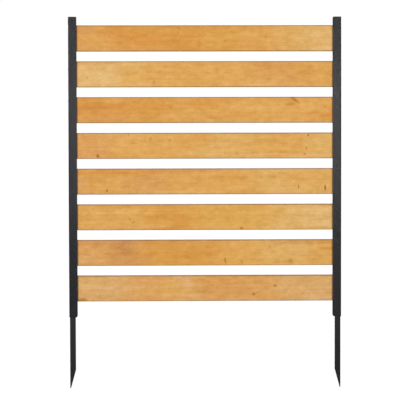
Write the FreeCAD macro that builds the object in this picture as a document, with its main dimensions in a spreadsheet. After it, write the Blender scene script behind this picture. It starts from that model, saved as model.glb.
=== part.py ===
import FreeCAD, Part
import os

import Sketcher
from FreeCAD import Vector

# A no dig privacy screen, one bay wide: level boards between two upright steel channel posts,
# and a pointed steel angle in the foot of each post that is driven into the soil.
#
# Lengths are in millimetres. X runs along the screen to the right, Y from its front to its back
# and Z upwards. The origin is on the foot of the left post, in the middle of its web, and the
# feet of both posts stand on the ground at Z = 0.

document = FreeCAD.newDocument("privacy_screen")

# The sizes that drive the model, each with its own name.
SIZES = (
    ("overall_width", 970, "from the outer face of one post to that of the other"),
    ("board_count", 8, "boards, one above the other"),
    ("board_height", 92, "face width of a board"),
    ("board_thickness", 19, "front to back of a board"),
    ("board_gap", 35, "open gap between two boards"),
    ("board_easing", 2.5, "radius on the long edges of a board"),
    ("head_margin", 30, "from the top board up to the top of the posts"),
    ("foot_margin", 56, "from the ground up to the lowest board"),
    ("post_width", 29, "width of a post's flanges, seen from the front"),
    ("post_wall", 2, "steel thickness of a post"),
    ("post_bend", 2, "inner radius of a post's two bends"),
    ("foot_corner", 4, "radius on the lower free corners of the flanges"),
    ("stake_leg", 21, "width of each leg of a stake"),
    ("stake_wall", 3, "steel thickness of a stake"),
    ("stake_bend", 1.5, "inner radius of a stake's bend"),
    ("stake_depth", 254, "from the ground down to the tip of a stake"),
    ("stake_overlap", 203, "length of a stake that stands inside its post"),
    ("stake_point", 66, "height of the slanted cut at a stake's tip"),
    ("stake_fit", 0.05, "free space between a stake and the two post walls that it seats on"),
    ("board_play", 0.5, "free space between a board and the front leg of a stake"),
    ("end_play", 2, "free space between a board's end and the side leg of a stake"),
    ("screw_hole", 4.5, "clearance hole of a board screw"),
    ("screw_sink", 8, "countersink of a board screw"),
    ("screw_inset", 12, "from a board's end to its screw"),
    ("bolt_hole", 5.5, "clearance hole of a stake bolt"),
    ("bolt_sink", 9, "countersink of a stake bolt"),
    ("bolt_height", 27, "from the ground up to the lower stake bolt"),
    ("sink_angle", 90, "angle of every countersink, in degrees"),
)

sheet = document.addObject("Spreadsheet::Sheet", "Sizes")
for row, (alias, value, meaning) in enumerate(SIZES, 1):
    sheet.set(f"A{row}", meaning)
    sheet.set(f"B{row}", str(value))
    sheet.setAlias(f"B{row}", alias)
document.recompute()

# Sizes that follow from the others, as formulas over the sheet.
PITCH = "(Sizes.board_height + Sizes.board_gap)"
POST_HEIGHT = (f"(Sizes.foot_margin + (Sizes.board_count - 1) * {PITCH} + Sizes.board_height"
               " + Sizes.head_margin)")
STAKE_INSET = "(Sizes.post_wall + Sizes.stake_fit)"
STAKE_REACH = f"({STAKE_INSET} + Sizes.stake_wall)"
POST_DEPTH = f"({STAKE_REACH} + Sizes.board_play + Sizes.board_thickness + Sizes.post_wall)"
BOARD_INSET = f"({STAKE_REACH} + Sizes.end_play)"
BOARD_LENGTH = f"(Sizes.overall_width - 2 * {BOARD_INSET})"
STAKE_LENGTH = "(Sizes.stake_depth + Sizes.stake_overlap)"

# The lower bolt of a stake is below the lowest board and the upper one in the gap above it.
BOLT_BACK = "(Sizes.stake_wall + (Sizes.stake_leg - Sizes.stake_wall) / 2)"
BOLT_HEIGHTS = ("Sizes.bolt_height", "Sizes.foot_margin + Sizes.board_height + Sizes.board_gap / 2")

# Where the outer face and the front face of the left post lie.
OUTER_FACE = "(-Sizes.post_wall / 2)"
FRONT_FACE = f"(-{POST_DEPTH} / 2)"

NEAR = 0.01


def size(formula):
    """The value that a formula over the sheet has now."""
    return float(sheet.evalExpression(formula))


def new_body(name, x, y, z):
    """A body with its node's name, placed by three formulas."""
    body = document.addObject("PartDesign::Body", name)
    body.Label = name
    for axis, formula in zip("xyz", (x, y, z)):
        body.setExpression(f"Placement.Base.{axis}", formula)
    return body


def origin_feature(body, role):
    """The plane or axis of a body's own origin that has this role."""
    return next(item for item in body.Origin.OriginFeatures if item.Role == role)


def new_sketch(body, name, plane, offset="0"):
    """A sketch on one of the body's own planes, moved along that plane's normal."""
    sketch = body.newObject("Sketcher::SketchObject", name)
    sketch.AttachmentSupport = (origin_feature(body, plane), [""])
    sketch.MapMode = "FlatFace"
    sketch.setExpression("AttachmentOffset.Base.z", offset)
    return sketch


def dimension(sketch, kind, references, formula):
    """A dimension of a sketch that follows a formula over the sheet."""
    number = sketch.addConstraint(Sketcher.Constraint(kind, *references, size(formula)))
    sketch.setExpression(f"Constraints[{number}]", formula)


def closed_outline(sketch, corners):
    """A ring of straight sides through corners given by formulas.

    Sides that start out level or upright stay so. Every other freedom is left to dimensions.
    """
    points = [Vector(size(across), size(up), 0) for across, up in corners]
    followers = points[1:] + points[:1]
    for start, end in zip(points, followers):
        sketch.addGeometry(Part.LineSegment(start, end))
    for side, (start, end) in enumerate(zip(points, followers)):
        sketch.addConstraint(Sketcher.Constraint("Coincident", side, 2, (side + 1) % len(points), 1))
        if abs(start.y - end.y) < NEAR:
            sketch.addConstraint(Sketcher.Constraint("Horizontal", side))
        elif abs(start.x - end.x) < NEAR:
            sketch.addConstraint(Sketcher.Constraint("Vertical", side))


def hole_centre(sketch, across, up, diameter):
    """A circle in a sketch, held from the sketch's origin by two formulas."""
    centre = Vector(size(across), size(up), 0)
    circle = sketch.addGeometry(Part.Circle(centre, Vector(0, 0, 1), size(diameter) / 2))
    dimension(sketch, "DistanceX", (-1, 1, circle, 3), across)
    dimension(sketch, "DistanceY", (-1, 1, circle, 3), up)
    dimension(sketch, "Diameter", (circle,), diameter)


def pad(body, sketch, name, length):
    feature = body.newObject("PartDesign::Pad", name)
    feature.Profile = sketch
    feature.setExpression("Length", length)
    document.recompute()
    return feature


def edges_on_line(shape, **place):
    """Names of the straight edges whose ends both have the given coordinates."""
    names = []
    for number, edge in enumerate(shape.Edges, 1):
        ends = [vertex.Point for vertex in edge.Vertexes]
        if all(abs(getattr(end, axis) - value) < NEAR for end in ends for axis, value in place.items()):
            names.append(f"Edge{number}")
    return names


def round_edges(body, base, name, radius, places):
    """A fillet on the edges of a feature that lie at any of these places."""
    fillet = body.newObject("PartDesign::Fillet", name)
    fillet.Base = (base, [edge for place in places for edge in edges_on_line(base.Shape, **place)])
    fillet.setExpression("Radius", radius)
    document.recompute()
    return fillet


def must_cut(before, after):
    """Stop if a cut took nothing away."""
    if not after.Shape.Volume < before.Shape.Volume - NEAR:
        raise RuntimeError(f"{after.Label} cuts nothing")


def hole(body, base, sketch, name, wall, diameter, sink=None):
    """Holes through one wall at the circles of a sketch, countersunk if a sink is given.

    They end in the open space behind that wall, so that the wall across it stays whole.
    """
    document.recompute()
    feature = body.newObject("PartDesign::Hole", name)
    feature.Profile = sketch
    feature.Reversed = True
    feature.DepthType = "Dimension"
    feature.DrillPoint = "Flat"
    feature.setExpression("Depth", f"2 * {wall}")
    feature.setExpression("Diameter", diameter)
    if sink:
        feature.HoleCutType = "Countersink"
        feature.HoleCutCustomValues = True
        feature.setExpression("HoleCutDiameter", sink)
        feature.setExpression("HoleCutCountersinkAngle", "Sizes.sink_angle")
    document.recompute()
    must_cut(base, feature)
    return feature


def make_post(name):
    """The left post: sheet steel bent to a channel that is open towards the boards.

    In its own frame the outer face is at X = 0, the front face at Y = 0 and the foot at Z = 0.
    """
    body = new_body(name, OUTER_FACE, FRONT_FACE, "0")

    profile = new_sketch(body, f"{name}_profile", "XY_Plane")
    back = POST_DEPTH
    inner_back = f"({POST_DEPTH} - Sizes.post_wall)"
    closed_outline(profile, (
        ("0", "0"), ("Sizes.post_width", "0"),
        ("Sizes.post_width", "Sizes.post_wall"), ("Sizes.post_wall", "Sizes.post_wall"),
        ("Sizes.post_wall", inner_back), ("Sizes.post_width", inner_back),
        ("Sizes.post_width", back), ("0", back),
    ))
    front_flange, front_lip, web_inside, rear_lip, rear_flange = 0, 1, 3, 5, 6
    profile.addConstraint(Sketcher.Constraint("Coincident", front_flange, 1, -1, 1))
    dimension(profile, "DistanceX", (front_flange, 1, front_flange, 2), "Sizes.post_width")
    dimension(profile, "DistanceX", (rear_flange, 2, rear_flange, 1), "Sizes.post_width")
    dimension(profile, "DistanceX", (front_flange, 1, web_inside, 1), "Sizes.post_wall")
    dimension(profile, "DistanceY", (front_lip, 1, front_lip, 2), "Sizes.post_wall")
    dimension(profile, "DistanceY", (rear_lip, 1, rear_lip, 2), "Sizes.post_wall")
    dimension(profile, "DistanceY", (front_flange, 1, rear_flange, 1), back)
    channel = pad(body, profile, f"{name}_channel", POST_HEIGHT)

    wall, depth = size("Sizes.post_wall"), size(POST_DEPTH)
    inside = round_edges(body, channel, f"{name}_inner_bends", "Sizes.post_bend",
                         ({"x": wall, "y": wall}, {"x": wall, "y": depth - wall}))
    outside = round_edges(body, inside, f"{name}_outer_bends", "Sizes.post_bend + Sizes.post_wall",
                          ({"x": 0, "y": 0}, {"x": 0, "y": depth}))
    foot = round_edges(body, outside, f"{name}_foot_corners", "Sizes.foot_corner",
                       ({"x": size("Sizes.post_width"), "z": 0},))

    bolts = new_sketch(body, f"{name}_bolt_centres", "YZ_Plane")
    for height in BOLT_HEIGHTS:
        hole_centre(bolts, f"{STAKE_INSET} + {BOLT_BACK}", height, "Sizes.bolt_hole")
    bolt_holes = hole(body, foot, bolts, f"{name}_bolt_holes",
                      "Sizes.post_wall", "Sizes.bolt_hole", "Sizes.bolt_sink")

    screws = new_sketch(body, f"{name}_screw_centres", "XZ_Plane", f"-{POST_DEPTH}")
    hole_centre(screws, f"{BOARD_INSET} + Sizes.screw_inset",
                "Sizes.foot_margin + Sizes.board_height / 2", "Sizes.screw_hole")
    lowest_screw = hole(body, bolt_holes, screws, f"{name}_lowest_screw_hole",
                        "Sizes.post_wall", "Sizes.screw_hole", "Sizes.screw_sink")

    rows = body.newObject("PartDesign::LinearPattern", f"{name}_screw_holes")
    rows.Originals = [lowest_screw]
    rows.Direction = (origin_feature(body, "Z_Axis"), [""])
    rows.Mode = "Spacing"
    rows.setExpression("Offset", PITCH)
    rows.setExpression("Occurrences", "Sizes.board_count")
    body.Tip = rows
    document.recompute()
    must_cut(lowest_screw, rows)
    return body


def make_stake(name):
    """The left stake: a bent steel angle cut to a point below its bend.

    It seats in the front corner of the channel, one leg behind the front flange and the other
    on the web. In its own frame its bend is at X = 0, Y = 0 and its tip at Z = 0.
    """
    body = new_body(name, f"{OUTER_FACE} + {STAKE_INSET}", f"{FRONT_FACE} + {STAKE_INSET}",
                    "-Sizes.stake_depth")

    profile = new_sketch(body, f"{name}_profile", "XY_Plane")
    leg, wall = "Sizes.stake_leg", "Sizes.stake_wall"
    closed_outline(profile, (("0", "0"), (leg, "0"), (leg, wall), (wall, wall), (wall, leg), ("0", leg)))
    front_leg, front_toe, side_toe, side_leg = 0, 1, 4, 5
    profile.addConstraint(Sketcher.Constraint("Coincident", front_leg, 1, -1, 1))
    dimension(profile, "DistanceX", (front_leg, 1, front_leg, 2), leg)
    dimension(profile, "DistanceY", (side_leg, 2, side_leg, 1), leg)
    dimension(profile, "DistanceY", (front_toe, 1, front_toe, 2), wall)
    dimension(profile, "DistanceX", (side_toe, 2, side_toe, 1), wall)
    angle = pad(body, profile, f"{name}_angle", STAKE_LENGTH)

    inside = round_edges(body, angle, f"{name}_inner_bend", "Sizes.stake_bend",
                         ({"x": size(wall), "y": size(wall)},))
    last = round_edges(body, inside, f"{name}_outer_bend", "Sizes.stake_bend + Sizes.stake_wall",
                       ({"x": 0, "y": 0},))

    for part_name, plane in (("front_point", "XZ_Plane"), ("side_point", "YZ_Plane")):
        waste = new_sketch(body, f"{name}_{part_name}_waste", plane)
        closed_outline(waste, ((wall, "0"), (leg, "0"), (leg, "Sizes.stake_point")))
        lower_side, toe_side = 0, 1
        waste.addConstraint(Sketcher.Constraint("PointOnObject", lower_side, 1, -1))
        dimension(waste, "DistanceX", (-1, 1, lower_side, 1), wall)
        dimension(waste, "DistanceX", (-1, 1, lower_side, 2), leg)
        dimension(waste, "DistanceY", (toe_side, 1, toe_side, 2), "Sizes.stake_point")
        cut = body.newObject("PartDesign::Pocket", f"{name}_{part_name}")
        cut.Profile = waste
        cut.Type = "ThroughAll"
        cut.Midplane = True
        document.recompute()
        must_cut(last, cut)
        last = cut

    bolts = new_sketch(body, f"{name}_bolt_centres", "YZ_Plane")
    for height in BOLT_HEIGHTS:
        hole_centre(bolts, BOLT_BACK, f"Sizes.stake_depth + {height}", "Sizes.bolt_hole")
    hole(body, last, bolts, f"{name}_bolt_holes", wall, "Sizes.bolt_hole")
    return body


def make_board(name, row):
    """A planed board, seated on the rear flanges of both posts. Row 0 is the lowest one."""
    body = new_body(name, f"{OUTER_FACE} + {BOARD_INSET}",
                    f"{FRONT_FACE} + {POST_DEPTH} - Sizes.post_wall - Sizes.board_thickness",
                    f"Sizes.foot_margin + {row} * {PITCH}")

    section = new_sketch(body, f"{name}_section", "YZ_Plane")
    thickness, height = "Sizes.board_thickness", "Sizes.board_height"
    closed_outline(section, (("0", "0"), (thickness, "0"), (thickness, height), ("0", height)))
    lower_side, rear_side = 0, 1
    section.addConstraint(Sketcher.Constraint("Coincident", lower_side, 1, -1, 1))
    dimension(section, "DistanceX", (lower_side, 1, lower_side, 2), thickness)
    dimension(section, "DistanceY", (rear_side, 1, rear_side, 2), height)
    plank = pad(body, section, f"{name}_plank", BOARD_LENGTH)

    deep, tall = size(thickness), size(height)
    round_edges(body, plank, f"{name}_eased_edges", "Sizes.board_easing",
                ({"y": 0, "z": 0}, {"y": deep, "z": 0}, {"y": deep, "z": tall}, {"y": 0, "z": tall}))
    return body


def mirror_image(name, source):
    """The opposite hand of a piece, on the other side of the screen's middle plane."""
    twin = document.addObject("Part::Mirroring", name)
    twin.Label = name
    twin.Source = source
    twin.Normal = Vector(1, 0, 0)
    twin.setExpression("Base.x", f"{OUTER_FACE} + Sizes.overall_width / 2")
    return twin


left_post = make_post("left_post")
left_stake = make_stake("left_stake")
pieces = [left_post, mirror_image("right_post", left_post),
          left_stake, mirror_image("right_stake", left_stake)]
board_count = int(size("Sizes.board_count"))
for number in range(1, board_count + 1):
    pieces.append(make_board(f"board_{number}", board_count - number))

document.recompute()
for item in document.Objects:
    if "Invalid" in item.State or "Error" in item.State:
        raise RuntimeError(f"{item.Label} did not build: {item.State}")
for piece in pieces:
    if piece.Shape.isNull() or not piece.Shape.isValid() or len(piece.Shape.Solids) != 1:
        raise RuntimeError(f"{piece.Label} is not one sound solid")

os.makedirs("parts", exist_ok=True)
for piece in pieces:
    piece.Shape.exportStep(f"parts/{piece.Label}.step")
    box = piece.Shape.BoundBox
    print(f"{piece.Label}: {piece.Shape.Volume:.0f} mm3,"
          f" X {box.XMin:.1f} to {box.XMax:.1f}, Y {box.YMin:.1f} to {box.YMax:.1f},"
          f" Z {box.ZMin:.1f} to {box.ZMax:.1f}")
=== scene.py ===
import math
from collections import namedtuple

import bmesh
import bpy
from mathutils import Matrix, Vector


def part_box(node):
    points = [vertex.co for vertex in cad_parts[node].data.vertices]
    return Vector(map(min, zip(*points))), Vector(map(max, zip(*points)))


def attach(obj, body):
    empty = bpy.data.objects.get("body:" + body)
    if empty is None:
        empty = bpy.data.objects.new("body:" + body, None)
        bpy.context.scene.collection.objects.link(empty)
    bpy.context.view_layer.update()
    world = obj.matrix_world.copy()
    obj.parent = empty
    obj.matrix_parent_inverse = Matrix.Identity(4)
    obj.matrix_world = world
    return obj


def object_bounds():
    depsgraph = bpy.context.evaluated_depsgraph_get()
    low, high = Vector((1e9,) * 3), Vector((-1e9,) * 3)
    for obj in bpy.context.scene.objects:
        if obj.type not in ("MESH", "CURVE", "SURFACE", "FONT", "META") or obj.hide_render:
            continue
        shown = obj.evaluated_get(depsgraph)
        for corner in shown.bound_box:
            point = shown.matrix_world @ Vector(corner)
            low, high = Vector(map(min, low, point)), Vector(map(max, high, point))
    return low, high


# The looks of a no dig privacy screen: stained boards between black steel channel posts.
# Lengths are in metres unless a name or comment says mm. X runs along the screen, Y to its back
# and Z up.

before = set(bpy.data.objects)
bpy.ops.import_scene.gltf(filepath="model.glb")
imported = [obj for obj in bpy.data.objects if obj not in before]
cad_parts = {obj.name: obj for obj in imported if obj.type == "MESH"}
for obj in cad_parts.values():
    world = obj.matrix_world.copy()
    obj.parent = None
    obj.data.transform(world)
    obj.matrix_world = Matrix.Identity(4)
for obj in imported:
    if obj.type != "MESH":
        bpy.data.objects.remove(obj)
cad_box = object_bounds()
MM = 0.001
UP = Vector((0.0, 0.0, 1.0))
WHITE = (1.0, 1.0, 1.0, 1.0)

# Camera, fitted to the edges of the posts and boards in the photograph. Angles are in radians.
CAMERA_PLACE = (0.3463, -6.0597, 0.6510)
CAMERA_YAW = -0.01972
CAMERA_PITCH = -0.03868
CAMERA_ROLL = -0.00228
SENSOR_WIDTH_MM = 36.0
PHOTO_WIDTH = 400
FOCAL_PIXELS = 1701.6


def tone(red, green, blue):
    """A colour given as screen values from 0 to 255, as the linear colour that shaders use."""
    values = [value / 255 for value in (red, green, blue)]
    linear = [v / 12.92 if v <= 0.04045 else ((v + 0.055) / 1.055) ** 2.4 for v in values]
    return tuple(linear) + (1.0,)


def stained(colour, depth):
    """A tone as it looks under more or less stain: 1 leaves it as it is."""
    return tuple(value ** depth for value in colour[:3]) + (1.0,)


def brightened(colour, factor):
    """A colour made paler by a factor above 1 or darker by one below it."""
    return tuple(value * factor for value in colour[:3]) + (1.0,)


class Nodes:
    """The node tree of a material or the world, with a short call for each kind of node."""

    def __init__(self, owner, target):
        """target names the shader that the tree feeds."""
        owner.use_nodes = True
        self.tree = owner.node_tree
        self.target = self.tree.nodes[target]

    def feed(self, socket, value):
        if isinstance(value, bpy.types.NodeSocket):
            self.tree.links.new(value, socket)
        else:
            socket.default_value = value

    def set_shader(self, **values):
        """Feeds the shader's sockets. A value that is the same all over is set on its socket."""
        for name, value in values.items():
            self.feed(self.target.inputs[name.replace("_", " ")], value)

    def add(self, kind, inputs, **settings):
        node = self.tree.nodes.new(kind)
        for name, value in settings.items():
            setattr(node, name, value)
        for socket, value in inputs.items():
            self.feed(node.inputs[socket], value)
        return node

    def place(self):
        return self.add("ShaderNodeTexCoord", {}).outputs["Object"]

    def parts(self, vector):
        return self.add("ShaderNodeSeparateXYZ", {"Vector": vector}).outputs

    def join(self, x, y, z):
        return self.add("ShaderNodeCombineXYZ", {"X": x, "Y": y, "Z": z}).outputs[0]

    def math(self, operation, first, second=0.0):
        return self.add("ShaderNodeMath", {0: first, 1: second}, operation=operation).outputs[0]

    def vector(self, operation, first, second=(0.0, 0.0, 0.0)):
        node = self.add("ShaderNodeVectorMath", {0: first, 1: second}, operation=operation)
        return node.outputs["Value" if operation == "LENGTH" else "Vector"]

    def ramp(self, value, start, end, high=1.0, low=0.0):
        """A smooth step of value, from low at start to high at end."""
        return self.add("ShaderNodeMapRange", {
            "Value": value, "From Min": start, "From Max": end, "To Min": low, "To Max": high,
        }, interpolation_type="SMOOTHSTEP").outputs["Result"]

    def noise(self, vector, waves, detail, roughness=0.5):
        """Noise with this many waves a metre along each axis, from about 0.25 to 0.75."""
        scaled = self.vector("MULTIPLY", vector, waves)
        return self.add("ShaderNodeTexNoise", {
            "Vector": scaled, "Scale": 1.0, "Detail": detail, "Roughness": roughness,
        }).outputs["Fac"]

    def choose(self, factor, first, second):
        """A mix of two numbers."""
        return self.add("ShaderNodeMix", {0: factor, 2: first, 3: second}, data_type="FLOAT").outputs[0]

    def mix(self, factor, first, second, blend="MIX"):
        """A mix of two colours."""
        return self.add("ShaderNodeMix", {0: factor, 6: first, 7: second},
                        data_type="RGBA", blend_type=blend).outputs[2]

    def run(self, value, stops):
        """Colours along a line: each stop is a place from 0 to 1 and a colour."""
        node = self.add("ShaderNodeValToRGB", {"Fac": value})
        elements = node.color_ramp.elements
        while len(elements) < len(stops):
            elements.new(0.5)
        for element, (position, colour) in zip(elements, stops):
            element.position = position
            element.color = colour
        node.color_ramp.interpolation = "EASE"
        return node.outputs["Color"]

    def bump(self, height, distance, strength):
        return self.add("ShaderNodeBump", {
            "Height": height, "Distance": distance, "Strength": strength,
        }).outputs["Normal"]


def new_material(name):
    """A material and its nodes."""
    material = bpy.data.materials.new(name)
    return material, Nodes(material, "Principled BSDF")


# Tones of the stain, from pale sapwood to resin-rich grain.
STRAW = tone(223, 178, 108)
PALE = tone(222, 172, 95)
BLUSH = tone(217, 167, 104)
HONEY = tone(220, 163, 80)
YELLOW = tone(219, 162, 73)
AMBER = tone(215, 152, 63)
ORANGE = tone(213, 144, 52)
ROSY = tone(217, 157, 84)
DUSKY = tone(206, 145, 74)
BROWN = tone(182, 113, 50)
# Darker tone of the eased edges: partly stain that soaked in deeper, partly painted shade.
EDGE_STAIN_AND_SHADE = tone(150, 110, 72)
# Painted shade on the boards where they enter the posts' channels.
PAINTED_LIP_SHADE = tone(84, 48, 22)

# The boards from the top one down. stain: how deep the stain is. run: tones along the board,
# from its left end at 0 to its right end at 1. patches: places where the stain took differently,
# as along, up, half length and half height in mm from the board's lower left corner, then the
# tone and how much of it shows. knots: along, up, half width and half height in mm, tilt in
# degrees and darkness.
BOARDS = (
    dict(
        stain=1.045,
        run=(
            (0, ROSY), (.1, HONEY), (.2, AMBER), (.42, AMBER), (.55, YELLOW), (.7, HONEY), (.85, PALE),
            (.95, STRAW),
        ),
        patches=(
            (55, 72, 70, 20, DUSKY, .6), (160, 66, 75, 34, ORANGE, .8), (262, 44, 75, 30, ORANGE, .8),
            (345, 40, 60, 22, ORANGE, .5), (432, 30, 45, 34, ORANGE, .5), (150, 8, 260, 16, ROSY, .6),
            (520, 84, 160, 10, ORANGE, .5), (580, 12, 130, 14, ORANGE, .5), (860, 58, 80, 30, STRAW, .6),
            (790, 40, 110, 22, STRAW, .4), (30, 42, 40, 14, AMBER, .5),
        ),
        knots=(
            (224, 51, 3, 3, 0, .35), (383, 68, 3, 4, 20, .45), (387, 80, 3, 3, 0, .4),
            (550, 36, 4, 4, 0, .4), (695, 52, 4, 3, 0, .38), (695, 62, 4, 3, 0, .2),
            (457, 29, 7, 12, 0, .2),
        ),
    ),
    dict(
        stain=1.01,
        run=(
            (0, STRAW), (.14, STRAW), (.24, PALE), (.36, HONEY), (.6, HONEY), (.76, ROSY), (.92, HONEY),
        ),
        patches=(
            (80, 84, 120, 10, ROSY, .5), (235, 40, 60, 22, YELLOW, .6), (520, 58, 40, 26, YELLOW, .9),
            (535, 20, 30, 20, ORANGE, .5), (705, 74, 80, 20, ORANGE, .7), (835, 64, 80, 20, AMBER, .8),
            (690, 16, 130, 14, PALE, .9), (720, 46, 150, 12, YELLOW, .6), (940, 40, 20, 30, ORANGE, .5),
            (560, 84, 120, 9, AMBER, .4),
        ),
        knots=(
            (60, 32, 4, 3, 0, .4), (297, 17, 3, 6, 0, .45), (319, 57, 5, 4, 0, .25),
            (520, 57, 10, 9, 0, .2), (588, 40, 4, 4, 0, .1),
        ),
    ),
    dict(
        stain=1.025,
        run=(
            (0, AMBER), (.1, ORANGE), (.3, AMBER), (.45, HONEY), (.58, HONEY), (.75, HONEY),
            (.95, HONEY),
        ),
        patches=(
            (45, 54, 80, 11, BROWN, .5), (300, 56, 75, 9, ORANGE, .9), (130, 22, 150, 24, ROSY, .7),
            (160, 80, 90, 12, PALE, .7), (460, 60, 90, 18, ORANGE, .9), (580, 82, 170, 11, ORANGE, .6),
            (540, 54, 130, 9, YELLOW, .7), (510, 18, 60, 12, DUSKY, .6), (700, 50, 90, 16, PALE, .5),
            (860, 30, 60, 14, ORANGE, .4), (950, 24, 50, 36, ORANGE, 1), (930, 56, 60, 12, ORANGE, .5),
            (786, 72, 30, 14, BROWN, .3), (30, 10, 40, 12, STRAW, .4),
        ),
        knots=(
            (357, 55, 4, 4, 0, .4), (357, 55, 15, 10, 0, .06), (315, 32, 3, 3, 0, .3),
            (797, 82, 22, 5, 38, .6), (782, 66, 17, 6, -6, .33), (905, 59, 4, 4, 0, .25),
        ),
    ),
    dict(
        stain=1.01,
        run=(
            (0, ROSY), (.1, ROSY), (.22, HONEY), (.45, HONEY), (.55, PALE), (.8, HONEY), (.95, PALE),
        ),
        patches=(
            (60, 56, 90, 20, AMBER, .4), (200, 8, 230, 10, AMBER, .6), (460, 24, 70, 16, PALE, .7),
            (680, 34, 80, 14, YELLOW, .6), (820, 32, 70, 16, AMBER, .4), (760, 10, 160, 8, STRAW, .5),
            (200, 82, 60, 10, ROSY, .5), (470, 78, 80, 12, AMBER, .3), (540, 50, 120, 30, HONEY, .4),
        ),
        knots=(
            (206, 86, 3, 4, 0, .5), (284, 70, 5, 7, 10, .45), (353, 65, 5, 4, 0, .38),
            (225, 54, 14, 2, 0, .3), (97, 10, 5, 6, -20, .85), (291, 24, 2, 2, 0, .4),
            (593, 18, 5, 4, 0, .33), (649, 20, 4, 3, 0, .25), (845, 83, 3, 4, 0, .85),
            (839, 37, 4, 7, 0, .45), (834, 16, 5, 3, 0, .6),
        ),
    ),
    dict(
        stain=1.02,
        run=(
            (0, ROSY), (.15, HONEY), (.3, ROSY), (.42, HONEY), (.6, HONEY), (.78, PALE), (.95, PALE),
        ),
        patches=(
            (160, 78, 200, 14, ORANGE, .9), (280, 44, 40, 40, DUSKY, .6), (100, 44, 60, 20, AMBER, .5),
            (430, 84, 190, 10, DUSKY, .7), (560, 56, 70, 14, AMBER, .5), (370, 12, 220, 10, PALE, .6),
            (745, 20, 50, 14, STRAW, .6), (840, 60, 160, 30, HONEY, .7), (30, 40, 30, 30, BLUSH, .4),
        ),
        knots=(
            (129, 14, 3, 4, -15, 1), (73, 32, 5, 3, 20, .35), (811, 26, 2.5, 9, 0, .65),
            (906, 22, 3.5, 10, 0, 1),
        ),
    ),
    dict(
        stain=0.97,
        run=(
            (0, HONEY), (.18, HONEY), (.32, AMBER), (.42, AMBER), (.54, YELLOW), (.68, YELLOW),
            (.82, PALE), (.95, STRAW),
        ),
        patches=(
            (392, 30, 34, 34, ORANGE, .8), (310, 50, 60, 14, ORANGE, .5), (150, 82, 130, 13, ORANGE, .9),
            (630, 44, 80, 14, PALE, .5), (790, 56, 26, 18, STRAW, .9), (880, 28, 60, 16, STRAW, .6),
            (640, 82, 60, 10, AMBER, .3), (260, 10, 90, 10, PALE, .7), (440, 64, 60, 12, YELLOW, .6),
            (200, 40, 120, 12, PALE, .3), (790, 42, 90, 16, STRAW, .4), (870, 82, 80, 9, HONEY, .6),
        ),
        knots=(
            (210, 39, 5, 5, 20, .4), (222, 27, 4, 4, 0, .4), (607, 5, 6, 6, 0, .68),
        ),
    ),
    dict(
        stain=1.005,
        run=(
            (0, ROSY), (.1, ROSY), (.2, DUSKY), (.32, AMBER), (.5, AMBER), (.62, HONEY), (.82, PALE),
            (.95, HONEY),
        ),
        patches=(
            (90, 76, 60, 14, DUSKY, .8), (195, 60, 28, 30, BROWN, .35), (235, 24, 90, 18, DUSKY, .7),
            (40, 24, 60, 24, BLUSH, .7), (400, 48, 130, 6, ORANGE, .9), (400, 32, 120, 6, ORANGE, .6),
            (350, 70, 150, 16, ROSY, .5), (430, 10, 180, 9, YELLOW, .3), (620, 36, 80, 20, YELLOW, .3),
            (850, 82, 160, 12, DUSKY, .8), (770, 12, 60, 10, AMBER, .5), (845, 44, 80, 12, BLUSH, .6),
            (950, 62, 36, 42, ORANGE, 1), (200, 82, 40, 12, BROWN, .25),
        ),
        knots=(
            (124, 42, 14, 3, 5, .2), (549, 17, 2.5, 11, -8, .85), (608, 13, 2.5, 8, 0, .48),
            (708, 68, 5, 7, 0, .3), (784, 13, 8, 12, 0, .32),
        ),
    ),
    dict(
        stain=0.995,
        run=(
            (0, BLUSH), (.12, BLUSH), (.3, ROSY), (.42, BLUSH), (.52, ROSY), (.7, ROSY), (.84, BLUSH),
        ),
        patches=(
            (60, 56, 80, 26, STRAW, .5), (160, 84, 120, 9, STRAW, .4), (520, 78, 90, 12, ORANGE, .35),
            (570, 60, 90, 4, BROWN, .35), (480, 44, 40, 20, DUSKY, .5), (620, 30, 120, 24, DUSKY, .4),
            (370, 40, 110, 40, HONEY, .8), (760, 24, 120, 24, HONEY, .5), (800, 60, 100, 16, HONEY, .3),
            (930, 76, 46, 14, STRAW, .6), (240, 44, 80, 14, STRAW, .4), (355, 10, 50, 12, AMBER, .4),
            (355, 82, 50, 10, AMBER, .4),
        ),
        knots=(
            (40, 4, 17, 8, 0, .65), (727, 54, 6, 4.5, 0, .68), (651, 24, 4.5, 5.5, 0, .7),
        ),
    ),
)

# The noises in the wood: waves a metre along each axis, detail, roughness, and how far on in the
# noise each board lies from the one above it.
WOOD_NOISES = {
    "drift": ((11.0, 40.0, 40.0), 5.0, 0.7, (0.0, 0.0, 0.0)),
    "comb": ((7.0, 60.0, 170.0), 3.0, 0.5, (0.9, 0.0, 0.0)),
    "wander": ((1.6, 7.0, 7.0), 2.0, 0.5, (3.7, 0.0, 0.0)),
    "fibre": ((14.0, 900.0, 900.0), 2.0, 0.5, (0.0, 0.0, 0.0)),
    "streak": ((3.0, 50.0, 80.0), 3.0, 0.5, (0.0, 1.3, 0.0)),
    "mottle": ((34.0, 50.0, 70.0), 3.0, 0.5, (0.0, 0.0, 0.7)),
    "fleck": ((190.0, 200.0, 200.0), 1.0, 0.5, (0.3, 0.0, 0.0)),
}

# How far the drift carries the outlines of patches, how much of a patch the combed streaks let
# through, and how far an ellipse reaches through a board, so great that depth doesn't count.
DRIFT_ALONG = 0.22
DRIFT_UP = 0.03
COMBED = dict(start=0.36, end=0.60, low=0.45, high=1.1)
THROUGH = 1000.0

# Fades: where each starts, where it is full, and how much shows there. Those of patches and
# knots are in half sizes of their ellipse, and the others are distances from an edge.
PATCH_FADE = (1.25, 0.2)
KNOT_FADE = (1.5, 0.4)
KNOT_REACH = (5.0, 0.5)
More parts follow.
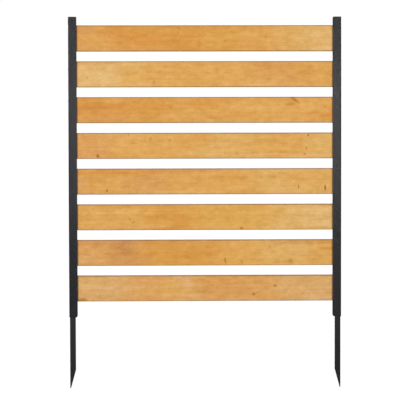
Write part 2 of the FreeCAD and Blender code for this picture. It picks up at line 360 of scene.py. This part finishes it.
# The upper edges are darkened more than the lower ones: painted shade that offsets the light falling on
# them from above.
UPPER_EDGE_FADE = (0.0050, 0.0016, 0.95)
LOWER_EDGE_FADE = (0.0042, 0.0012, 0.6)
FACE_FADE = (0.006, 0.003)
# Painted shade on the boards beside the posts' lips.
PAINTED_LIP_SHADE_FADE = (0.0065, 0.0010, 0.85)

# Growth rings: in each of them the late wood sets in slowly and ends at once. Every board is
# sawn from its own part of the log, so its pith lies in a place of its own behind it.
RING_WIDTH = 0.0034
LATE_START = (0.35, 0.85)
LATE_END = (1.0, 0.9)
RING_WANDER = 0.03
KNOT_PUSH = 1.4
PITH_BEHIND = 0.034
PITH_BEHIND_STEP = 0.011
PITH_UP_STEP = 0.012

# How much each pattern darkens the wood, the shade before they do, how much a knot takes off it,
# and the powers of it that red, green and blue are multiplied by.
GRAIN_DEPTHS = {"late": 0.05, "fibre": 0.07, "streak": 0.26, "mottle": 0.52, "fleck": 0.26}
GRAIN_LEVEL = 1.558
KNOT_SHADE = 0.72
SHADE_POWERS = (0.6, 1.0, 2.5)

# What stands up from the wood's face and how deep knots lie in it, as shares of the relief's
# height, then the roughness of its satin and what adds to that.
RELIEF = {"late": 0.5, "fibre": 0.8}
KNOT_DENT = 0.4
RELIEF_HEIGHT = 0.00025
SATIN = 0.33
ROUGHENING = {"drift": 0.16, "fibre": 0.14}


def wood_noise(n, place, number, waves, detail, roughness, step):
    """One of the wood's noises, read at the board's own place in it."""
    shift = tuple(number * part for part in step)
    return n.noise(n.vector("ADD", place, shift), waves, detail, roughness)


def weighted(n, patterns, weights, total=0.0):
    """A total plus each of these patterns times its weight."""
    for name, weight in weights.items():
        total = n.math("ADD", total, n.math("MULTIPLY", patterns[name], weight))
    return total


def ellipse_place(n, place, corner, ellipse, tilt=0.0):
    """Place within an ellipse on a board: its length is 1 on the ellipse's edge."""
    along, up, half_length, half_height = (value * MM for value in ellipse)
    return n.add("ShaderNodeMapping", {
        "Vector": place, "Location": (corner.x + along, 0.0, corner.z + up),
        "Rotation": (0.0, tilt, 0.0), "Scale": (half_length, THROUGH, half_height),
    }, vector_type="TEXTURE").outputs["Vector"]


def stain(n, place, noises, corner, length, look):
    """The stain's tones along a board, with ragged and streaky patches where it took differently."""
    drift = n.math("SUBTRACT", noises["drift"], 0.5)
    sway = n.math("MULTIPLY", drift, DRIFT_ALONG)
    lift = n.math("MULTIPLY", drift, DRIFT_UP)
    drifted = n.vector("ADD", place, n.join(sway, 0.0, lift))
    take = n.ramp(noises["comb"], **COMBED)
    along = n.math("DIVIDE", n.math("SUBTRACT", n.parts(drifted)[0], corner.x), length)
    colour = n.run(along, [(stop, stained(shown, look["stain"])) for stop, shown in look["run"]])
    for *ellipse, patch_tone, strength in look["patches"]:
        reach = n.vector("LENGTH", ellipse_place(n, drifted, corner, ellipse))
        cover = n.math("MULTIPLY", n.ramp(reach, *PATCH_FADE, strength), take)
        colour = n.mix(cover, colour, stained(patch_tone, look["stain"]))
    return colour


def edge_stain_and_shade(n, y, z, low, high, colour):
    """The eased edges are darker: partly stain that soaked in deeper, partly painted shade, which is why
    the upper ones are darker still.
    """
    from_face = n.math("MINIMUM", n.math("SUBTRACT", y, low.y), n.math("SUBTRACT", high.y, y))
    upper = n.ramp(n.math("SUBTRACT", high.z, z), *UPPER_EDGE_FADE)
    lower = n.ramp(n.math("SUBTRACT", z, low.z), *LOWER_EDGE_FADE)
    edge = n.math("MULTIPLY", n.math("MAXIMUM", upper, lower), n.ramp(from_face, *FACE_FADE))
    return n.mix(edge, colour, EDGE_STAIN_AND_SHADE)


def board_knots(n, place, corner, knots):
    """How dark the knots are, and how far the grain bends round each of them."""
    dark = 0.0
    push = 0.0
    for *ellipse, tilt, darkness in knots:
        inside = ellipse_place(n, place, corner, ellipse, math.radians(tilt))
        reach = n.vector("LENGTH", inside)
        dark = n.math("MAXIMUM", dark, n.ramp(reach, *KNOT_FADE, darkness))
        near = n.ramp(reach, *KNOT_REACH, ellipse[3] * MM * KNOT_PUSH)
        push = n.math("ADD", push, n.math("MULTIPLY", near, n.parts(inside)[2]))
    return dark, push


def growth_rings(n, y, z, number, middle, wander, push):
    """The dark late wood of the rings about a pith that lies behind the board."""
    pith_y = PITH_BEHIND + PITH_BEHIND_STEP * (number * 5 % 4)
    pith_z = middle + PITH_UP_STEP * (number * 3 % 5 - 2)
    above = n.math("ADD", n.math("SUBTRACT", z, pith_z), n.math("MULTIPLY", wander, RING_WANDER))
    above = n.math("SUBTRACT", above, push)
    radius = n.vector("LENGTH", n.join(0.0, n.math("SUBTRACT", y, pith_y), above))
    turn = n.math("FRACT", n.math("DIVIDE", radius, RING_WIDTH))
    return n.math("MULTIPLY", n.ramp(turn, *LATE_START), n.ramp(turn, *LATE_END))


def grain_shade(n, patterns, dark):
    """The colour that the stain is multiplied by: deeper grain and knots are darker and redder."""
    shade = n.math("SUBTRACT", GRAIN_LEVEL, weighted(n, patterns, GRAIN_DEPTHS))
    shade = n.math("MULTIPLY", shade, n.math("SUBTRACT", 1.0, n.math("MULTIPLY", dark, KNOT_SHADE)))
    return n.join(*(n.math("POWER", shade, power) for power in SHADE_POWERS))


def painted_lip_shade(n, x, colour):
    """Painted shade on a board just beyond the lips of the posts that it enters."""
    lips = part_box("left_post")[1].x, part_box("right_post")[0].x
    from_lip = n.math("MINIMUM", n.math("SUBTRACT", x, lips[0]), n.math("SUBTRACT", lips[1], x))
    return n.mix(n.ramp(from_lip, *PAINTED_LIP_SHADE_FADE), colour, PAINTED_LIP_SHADE)


def stained_wood(number, look):
    """Softwood of one board: growth rings, fibres, knots, stain that took unevenly, darker eased edges,
    and painted shade where it enters the posts.
    """
    low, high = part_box(f"board_{number}")
    material, n = new_material(f"stained_wood_{number}")
    place = n.place()
    x, y, z = n.parts(place)
    patterns = {name: wood_noise(n, place, number, *noise) for name, noise in WOOD_NOISES.items()}

    colour = stain(n, place, patterns, low, high.x - low.x, look)
    # The eased edges are darkened: partly deeper stain, partly painted shade.
    colour = edge_stain_and_shade(n, y, z, low, high, colour)
    dark, push = board_knots(n, place, low, look["knots"])
    middle = (low.z + high.z) / 2
    patterns["late"] = growth_rings(n, y, z, number, middle, patterns["wander"], push)
    colour = n.mix(1.0, colour, grain_shade(n, patterns, dark), "MULTIPLY")
    # Painted shade where the board enters the posts.
    colour = painted_lip_shade(n, x, colour)

    dent = n.math("MULTIPLY", dark, KNOT_DENT)
    height = n.math("SUBTRACT", weighted(n, patterns, RELIEF), dent)
    n.set_shader(
        Base_Color=colour,
        Roughness=weighted(n, patterns, ROUGHENING, SATIN),
        Specular_IOR_Level=0.35,
        Normal=n.bump(height, RELIEF_HEIGHT, strength=0.6),
    )
    return material


# Powder coat: waves a metre of the clouds in its tone and gloss, how dark and how pale they are,
# where in the noise they turn from one to the other, and how far they change the roughness.
CLOUD_WAVES = (14.0, 14.0, 6.0)
CLOUD_DARKEST = 0.8
CLOUD_PALEST = 1.25
CLOUD_TURN = (0.35, 0.65)
CLOUD_ROUGHNESS = 0.12

# Waves a metre of its orange peel and of the finer speckle on it, the speckle's share of the
# relief, and how high the relief is.
PEEL_WAVES = (900.0, 900.0, 900.0)
SPECKLE_WAVES = (2600.0, 2600.0, 2600.0)
SPECKLE_SHARE = 0.25
PEEL_HEIGHT = 0.00006


def powder_coat(name, colour, specular, roughness):
    """Baked paint on steel: a faint orange peel, with a slightly uneven tone and gloss."""
    smoothest = roughness - CLOUD_ROUGHNESS / 2
    material, n = new_material(name)
    place = n.place()
    cloud = n.noise(place, CLOUD_WAVES, detail=3.0)
    peel = n.noise(place, PEEL_WAVES, detail=1.0)
    speckle = n.noise(place, SPECKLE_WAVES, detail=0.0)
    tints = brightened(colour, CLOUD_DARKEST), brightened(colour, CLOUD_PALEST)
    height = n.math("ADD", peel, n.math("MULTIPLY", speckle, SPECKLE_SHARE))
    n.set_shader(
        Base_Color=n.mix(n.ramp(cloud, *CLOUD_TURN), *tints),
        Roughness=n.math("ADD", n.math("MULTIPLY", cloud, CLOUD_ROUGHNESS), smoothest),
        Specular_IOR_Level=specular,
        Normal=n.bump(height, PEEL_HEIGHT, strength=0.8),
    )
    return material


def new_object(name, bm, material):
    """An object with the built mesh and one material."""
    mesh = bpy.data.meshes.new(name)
    bm.to_mesh(mesh)
    bm.free()
    mesh.materials.append(material)
    thing = bpy.data.objects.new(name, mesh)
    bpy.context.scene.collection.objects.link(thing)
    return thing


# Points nearer than the first are welded, and edges that turn by more than the second stay hard.
WELD_DISTANCE = 1e-7
HARD_EDGE_DEGREES = 35


def add_piece(name, bm, material):
    bmesh.ops.remove_doubles(bm, verts=bm.verts, dist=WELD_DISTANCE)
    bmesh.ops.recalc_face_normals(bm, faces=bm.faces)
    piece = new_object(name, bm, material)
    piece.data.shade_smooth()
    piece.data.set_sharp_from_angle(angle=math.radians(HARD_EDGE_DEGREES))
    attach(piece, "root")
    return piece


def lathe(bm, rings, base, axis, segments):
    """Joins rings about a level axis into a closed skin.

    Each ring is an offset along the axis and a radius, in mm. A radius may be a function of the
    angle. The first and the last ring close to a point.
    """
    other = axis.cross(UP)
    loops = []
    for offset, radius in rings:
        loop = []
        for step in range(segments):
            angle = 2 * math.pi * step / segments
            reach = (radius(angle) if callable(radius) else radius) * MM
            direction = UP * math.cos(angle) + other * math.sin(angle)
            loop.append(bm.verts.new(base + axis * (offset * MM) + direction * reach))
        loops.append(loop)
    for first, second in zip(loops, loops[1:]):
        for step in range(segments):
            following = (step + 1) % segments
            bm.faces.new((first[step], first[following], second[following], second[step]))
    for loop, (offset, _) in ((loops[0], rings[0]), (loops[-1], rings[-1])):
        tip = bm.verts.new(base + axis * (offset * MM))
        for step in range(segments):
            bm.faces.new((loop[step], loop[(step + 1) % segments], tip))


def polygon(sides, across_flats):
    """The radius of a regular polygon at an angle."""
    half_turn = math.pi / sides

    def radius(angle):
        return across_flats / 2 / math.cos((angle % (2 * half_turn)) - half_turn)
    return radius


def lobes(across, depth):
    """The radius of a six-lobed drive recess at an angle."""
    return lambda angle: across / 2 - depth * (0.5 - 0.5 * math.cos(6 * angle))


# Fasteners, in mm. Each stands in the countersunk hole that the solids have for it, sunk a
# little below the steel. A bevel is given by how deep and how wide it is.
Fastener = namedtuple("Fastener", "head shank length recess recess_depth")
SCREW = Fastener(head=7.6, shank=4.0, length=17.0, recess=lobes(3.9, 0.45), recess_depth=1.5)
BOLT = Fastener(head=8.6, shank=5.0, length=10.2, recess=polygon(6, 3.0), recess_depth=1.8)
SINK = 0.1
HEAD_RIM = 0.3
HEAD_BEVEL_DEPTH = 0.12
HEAD_BEVEL = 0.25
RECESS_BEVEL_DEPTH = 0.05
RECESS_BEVEL = 0.12
RECESS_FLOOR_DEPTH = 0.2
RECESS_FLOOR_SHARE = 0.6
POINT_LENGTH = 1.0
POINT_TAPER = 0.8
FASTENER_SEGMENTS = 24

# The nuts on the stake bolts, in mm.
NUT_ACROSS = 8.0
NUT_HEIGHT = 4.0
NUT_FLANGE = 11.0
NUT_FLANGE_EDGE = 0.7
NUT_FLANGE_TOP = 1.3
NUT_FILLET = 0.15
NUT_CHAMFER_HEIGHT = 0.6
NUT_CHAMFER = 0.1
NUT_SEGMENTS = 36

# Where the solids have the holes for screws and lower bolts, and the thickness of a stake, in mm.
# The upper bolts are level with the middle of the lowest opening.
BOARD_SCREW_INSET = 12.0
LOWER_BOLT_HEIGHT = 27.0
STAKE_WALL = 3.0


def countersunk(bm, base, axis, fastener):
    """A flush head with a drive recess, its cone, a shank and a blunt point."""
    head, shank, length, recess, recess_depth = fastener
    cone = (head - shank) / 2
    rings = (
        (recess_depth, lambda angle: recess(angle) * RECESS_FLOOR_SHARE),
        (recess_depth - RECESS_FLOOR_DEPTH, recess),
        (RECESS_BEVEL_DEPTH, recess),
        (0.0, lambda angle: recess(angle) + RECESS_BEVEL),
        (0.0, head / 2 - HEAD_BEVEL),
        (HEAD_BEVEL_DEPTH, head / 2),
        (HEAD_RIM, head / 2),
        (HEAD_RIM + cone, shank / 2),
        (length - POINT_LENGTH, shank / 2),
        (length, shank / 2 - POINT_TAPER),
    )
    lathe(bm, rings, base, axis, FASTENER_SEGMENTS)


def flange_nut(bm, base, axis):
    """A hexagon nut on a round flange, with its corners turned down."""
    hexagon = polygon(6, NUT_ACROSS)
    rings = (
        (0.0, BOLT.shank / 2),
        (0.0, NUT_FLANGE / 2),
        (NUT_FLANGE_EDGE, NUT_FLANGE / 2),
        (NUT_FLANGE_TOP, lambda angle: hexagon(angle) + NUT_FILLET),
        (NUT_HEIGHT - NUT_CHAMFER_HEIGHT, hexagon),
        (NUT_HEIGHT, NUT_ACROSS / 2 - NUT_CHAMFER),
        (NUT_HEIGHT, BOLT.shank / 2),
    )
    lathe(bm, rings, base, axis, NUT_SEGMENTS)


def board_screws(side, material):
    """The screws that hold the boards' ends to one post's rear flange."""
    bm = bmesh.new()
    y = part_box(f"{side}_post")[1].y - SINK * MM
    inset = BOARD_SCREW_INSET * MM
    for number in range(1, len(BOARDS) + 1):
        low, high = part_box(f"board_{number}")
        x = low.x + inset if side == "left" else high.x - inset
        base = Vector((x, y, (low.z + high.z) / 2))
        countersunk(bm, base, Vector((0, -1, 0)), SCREW)
    return add_piece(f"{side}_board_screws", bm, material)


def stake_bolts(side, material):
    """The bolts and flange nuts that hold a stake to its post's web."""
    bm = bmesh.new()
    inward = 1 if side == "left" else -1
    axis = Vector((inward, 0, 0))
    post_low, post_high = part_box(f"{side}_post")
    stake_low, stake_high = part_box(f"{side}_stake")
    wall = STAKE_WALL * MM
    outer = post_low.x if side == "left" else post_high.x
    stake_inner = stake_low.x + wall if side == "left" else stake_high.x - wall
    centre_y = stake_low.y + wall + (stake_high.y - stake_low.y - wall) / 2
    lowest, next_up = (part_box(f"board_{len(BOARDS) - row}") for row in range(2))
    for height in (LOWER_BOLT_HEIGHT * MM, (lowest[1].z + next_up[0].z) / 2):
        countersunk(bm, Vector((outer + inward * SINK * MM, centre_y, height)), axis, BOLT)
        flange_nut(bm, Vector((stake_inner, centre_y, height)), axis)
    return add_piece(f"{side}_stake_bolts", bm, material)


# The floor is so wide that it ends out of sight, and lies just under the stakes' tips.
FLOOR_RADIUS = 40.0
FLOOR_SEGMENTS = 96
FLOOR_MIDDLE_X = 0.5
FLOOR_DROP = 0.0005
FLOOR_GREY = (0.05, 0.05, 0.05, 1.0)
FLOOR_GLOW = 0.97


def make_floor():
    """A wide pale floor at the stakes' tips, lit from within like a light table."""
    material, n = new_material("pale_floor")
    n.set_shader(
        Base_Color=FLOOR_GREY,
        Roughness=0.9,
        Specular_IOR_Level=0.0,
        Emission_Color=WHITE,
        Emission_Strength=FLOOR_GLOW,
    )
    bm = bmesh.new()
    bmesh.ops.create_circle(bm, cap_ends=True, segments=FLOOR_SEGMENTS, radius=FLOOR_RADIUS)
    floor = new_object("floor", bm, material)
    floor.location = (FLOOR_MIDDLE_X, 0.0, cad_box[0].z - FLOOR_DROP)
    floor.visible_diffuse = False
    floor.visible_glossy = False


# The studio's brightness: how it rises with the Z of a direction, how much of it gloss sees, which
# falls with the direction's Y, and what the camera sees.
STUDIO_BY_HEIGHT = dict(start=-0.2, end=0.6, low=0.13, high=0.8)
STUDIO_IN_GLOSS = dict(start=-0.3, end=0.4, low=1.0, high=0.05)
BACKDROP = 1.01


def make_world():
    """A grey studio, bright overhead and dark below eye level.

    Behind the object the camera sees pure white, and gloss mirrors a dark wall.
    """
    world = bpy.data.worlds.new("studio")
    bpy.context.scene.world = world
    n = Nodes(world, "Background")
    _, back, above = n.parts(n.add("ShaderNodeTexCoord", {}).outputs["Generated"])
    level = n.ramp(above, **STUDIO_BY_HEIGHT)
    mirrored = n.math("MULTIPLY", level, n.ramp(back, **STUDIO_IN_GLOSS))
    ray = n.add("ShaderNodeLightPath", {}).outputs
    strength = n.choose(ray["Is Glossy Ray"], level, mirrored)
    strength = n.choose(ray["Is Camera Ray"], strength, BACKDROP)
    n.set_shader(Color=WHITE, Strength=strength)


def add_softbox(name, place, width, height, share):
    """A softbox aimed at the middle of the screen.

    Its power is worked out so that it gives this share of a white board's full brightness.
    """
    middle = (cad_box[0] + cad_box[1]) / 2
    throw = middle - Vector(place)
    data = bpy.data.lights.new(name, "AREA")
    data.shape = "RECTANGLE"
    data.size = width
    data.size_y = height
    data.energy = share * math.pi ** 2 * throw.length ** 3 / abs(throw.y)
    light = bpy.data.objects.new(name, data)
    light.location = place
    light.rotation_mode = "QUATERNION"
    light.rotation_quaternion = throw.to_track_quat("-Z", "Y")
    light.visible_camera = False
    bpy.context.scene.collection.objects.link(light)


def make_lights():
    """A key on the left, a weaker fill on the right, and two softboxes for the back and the ends.

    The strip beside the camera is what the posts' satin paint mirrors, so it brightens them at
    eye level.
    """
    add_softbox("key", place=(-4.6, -9.6, 3.9), width=2.6, height=2.6, share=0.376)
    add_softbox("fill", place=(6.6, -8.2, 4.6), width=3.0, height=3.0, share=0.168)
    add_softbox("strip", place=(0.85, -6.3, 0.75), width=2.4, height=0.5, share=0.09)
    add_softbox("rear_left", place=(-5.4, 7.6, 1.9), width=2.4, height=2.4, share=0.24)
    add_softbox("rear_right", place=(6.4, 7.6, 2.3), width=2.4, height=2.4, share=0.24)


def make_camera():
    """The photograph's viewing angle: turned, tipped and rolled by the fitted angles."""
    turn = Matrix.Rotation(CAMERA_YAW, 3, "Z")
    forward = turn @ Vector((0.0, math.cos(CAMERA_PITCH), math.sin(CAMERA_PITCH)))
    level = turn @ Vector((1.0, 0.0, 0.0))
    above = level.cross(forward)
    right = level * math.cos(CAMERA_ROLL) + above * math.sin(CAMERA_ROLL)
    up = above * math.cos(CAMERA_ROLL) - level * math.sin(CAMERA_ROLL)
    data = bpy.data.cameras.new("camera")
    data.sensor_width = SENSOR_WIDTH_MM
    data.lens = FOCAL_PIXELS / PHOTO_WIDTH * SENSOR_WIDTH_MM
    camera = bpy.data.objects.new("camera", data)
    facing = Matrix((right, up, -forward)).transposed().to_4x4()
    camera.matrix_world = Matrix.Translation(CAMERA_PLACE) @ facing
    bpy.context.scene.collection.objects.link(camera)
    bpy.context.scene.camera = camera


def dress(node, material):
    """Gives a CAD node its material."""
    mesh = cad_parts[node].data
    mesh.materials.clear()
    mesh.materials.append(material)


make_camera()
make_world()
make_lights()
make_floor()
bpy.context.scene.view_settings.view_transform = "Standard"

post_steel = powder_coat("black_steel", tone(22, 21, 27), specular=0.38, roughness=0.28)
stake_steel = powder_coat("stake_steel", tone(28, 28, 29), specular=0.25, roughness=0.5)
screw_steel = powder_coat("screw_steel", tone(42, 42, 44), specular=0.5, roughness=0.4)
for side in ("left", "right"):
    dress(f"{side}_post", post_steel)
    dress(f"{side}_stake", stake_steel)
    board_screws(side, screw_steel)
    stake_bolts(side, screw_steel)
for number, look in enumerate(BOARDS, 1):
    dress(f"board_{number}", stained_wood(number, look))
